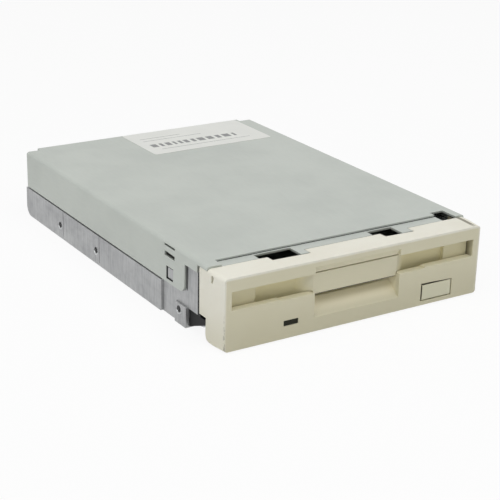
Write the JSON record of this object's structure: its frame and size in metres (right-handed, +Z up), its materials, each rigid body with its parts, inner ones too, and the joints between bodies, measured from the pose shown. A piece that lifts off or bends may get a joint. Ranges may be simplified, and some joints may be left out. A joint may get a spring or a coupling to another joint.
{
  "type": "internal floppy disk drive",
  "caption": "Low flat internal drive with a plated cover on a die-cast frame and a pale bezel with disk slot, thumb notch, lamp window and eject button.",
  "frame": {"origin": "middle of the footprint on the plane that the rails stand on", "axes": "+X to the right seen from the front, +Y from the bezel to the connectors, +Z up"},
  "size_m": [0.1016, 0.149, 0.0255],
  "materials": {
    "cast_frame": "rough die-cast",
    "cover_steel": "plated sheet",
    "bezel_plastic": "fine texture",
    "sticker": "matt",
    "lens_plastic": "dark smoked",
    "lamp_plastic": "clear tinted",
    "black_plastic": "moulded",
    "white_plastic": "moulded",
    "grey_plastic": "moulded",
    "board_green": "solder mask",
    "chip_black": "moulded",
    "capacitor_sleeve": "shrink sleeve",
    "steel": "plain",
    "sheet_steel": "plated sheet",
    "bearing_bronze": "sintered",
    "pin_gold": "plated",
    "copper": "enamelled wire",
    "lamination": "stamped",
    "magnet": "bonded ferrite",
    "ceramic_head": "polished",
    "ribbon_film": "flexible film"
  },
  "bodies": {
    "frame": {"main_frame": "cast_frame", "top_cover": "cover_steel", "front_bezel": "bezel_plastic", "rating_label": "sticker", "led_lens": "lens_plastic", "led": "lamp_plastic", "front_feet": "black_plastic", "flap_pin": "steel", "flap_spring": "steel", "motor_board": "board_green", "main_board": "board_green", "signal_connector": "black_plastic", "signal_pins": "pin_gold", "power_connector": "white_plastic", "power_pins": "steel", "board_chips": "chip_black", "capacitors": "capacitor_sleeve", "motor_chip": "chip_black", "spindle_bearing": "bearing_bronze", "stator_core": "lamination", "stator_coils": "copper", "stepper_motor": "sheet_steel", "stepper_bracket": "sheet_steel", "screw_bearing": "bearing_bronze", "guide_rods": "steel", "rod_retainer": "sheet_steel", "track_zero_sensor": "chip_black", "index_sensor": "chip_black", "switch_bodies": "white_plastic", "ribbon_socket": "white_plastic", "slider_springs": "steel", "lever_post": "steel", "lever_spring": "steel", "board_screws": "steel", "bracket_screws": "steel", "retainer_screw": "steel", "foot_screws": "steel"},
    "ejector": {"eject_button": "bezel_plastic", "eject_slider": "sheet_steel"},
    "carrier": {"disk_carrier": "sheet_steel", "carrier_pins": "steel"},
    "flap": {"slot_flap": "bezel_plastic"},
    "lever": {"shutter_lever": "grey_plastic"},
    "spindle": {"rotor_cup": "sheet_steel", "rotor_magnet": "magnet", "spindle_shaft": "steel", "chuck_hub": "sheet_steel", "drive_pin": "steel"},
    "screw": {"lead_screw": "steel"},
    "carriage": {"head_carriage": "grey_plastic", "screw_follower": "white_plastic", "lower_head": "ceramic_head", "head_ribbon": "ribbon_film", "arm_hinge_pin": "steel", "arm_spring": "steel"},
    "arm": {"head_arm": "sheet_steel", "upper_head": "ceramic_head"},
    "protect_switch": {"protect_plunger": "white_plastic"},
    "density_switch": {"density_plunger": "white_plastic"},
    "disk_switch": {"disk_plunger": "white_plastic"}
  },
  "joints": [
    {"name": "eject_slide", "type": "slide", "parent": "frame", "child": "ejector", "axis": [0, -1, 0], "range_m": [0, 0.005]},
    {"name": "carrier_drop", "type": "slide", "parent": "frame", "child": "carrier", "axis": [0, 0, -1], "range_m": [0, 0.0027]},
    {"name": "lever_swing", "type": "hinge", "parent": "frame", "child": "lever", "pos_m": [-0.033, 0.0305, 0.0146], "axis": [0, 0, 1], "range_deg": [0, 55]},
    {"name": "flap_hinge", "type": "hinge", "parent": "frame", "child": "flap", "pos_m": [0, -0.0703, 0.0204], "axis": [1, 0, 0], "range_deg": [0, 88], "stiffness_Nm_per_rad": 0.0004, "springref_deg": -22.92},
    {"name": "spindle_spin", "type": "hinge", "parent": "frame", "child": "spindle", "pos_m": [0, -0.0225, 0.005], "axis": [0, 0, 1], "continuous": true},
    {"name": "carriage_slide", "type": "slide", "parent": "frame", "child": "carriage", "axis": [0, -1, 0], "range_m": [0, 0.015]},
    {"name": "screw_turn", "type": "hinge", "parent": "frame", "child": "screw", "pos_m": [0.018, 0.0255, 0.0082], "axis": [0, 1, 0], "range_deg": [0, 1440]},
    {"name": "arm_load", "type": "hinge", "parent": "carriage", "child": "arm", "pos_m": [0, 0.0445, 0.0165], "axis": [1, 0, 0], "range_deg": [0, 8.6]},
    {"name": "protect_press", "type": "slide", "parent": "frame", "child": "protect_switch", "axis": [0, 0, -1], "range_m": [0, 0.0014], "stiffness_N_per_m": 50, "springref_m": -0.001},
    {"name": "density_press", "type": "slide", "parent": "frame", "child": "density_switch", "axis": [0, 0, -1], "range_m": [0, 0.0014], "stiffness_N_per_m": 50, "springref_m": -0.001},
    {"name": "disk_press", "type": "slide", "parent": "frame", "child": "disk_switch", "axis": [0, 0, -1], "range_m": [0, 0.0014], "stiffness_N_per_m": 50, "springref_m": -0.001}
  ],
  "couplings": [
    {"joint": "carrier_drop", "follows": "eject_slide", "ratio": 0.54},
    {"joint": "lever_swing", "follows": "eject_slide", "rad_per_m": 191.99},
    {"joint": "arm_load", "follows": "eject_slide", "rad_per_m": 30.019},
    {"joint": "screw_turn", "follows": "carriage_slide", "rad_per_m": 1675.5}
  ]
}
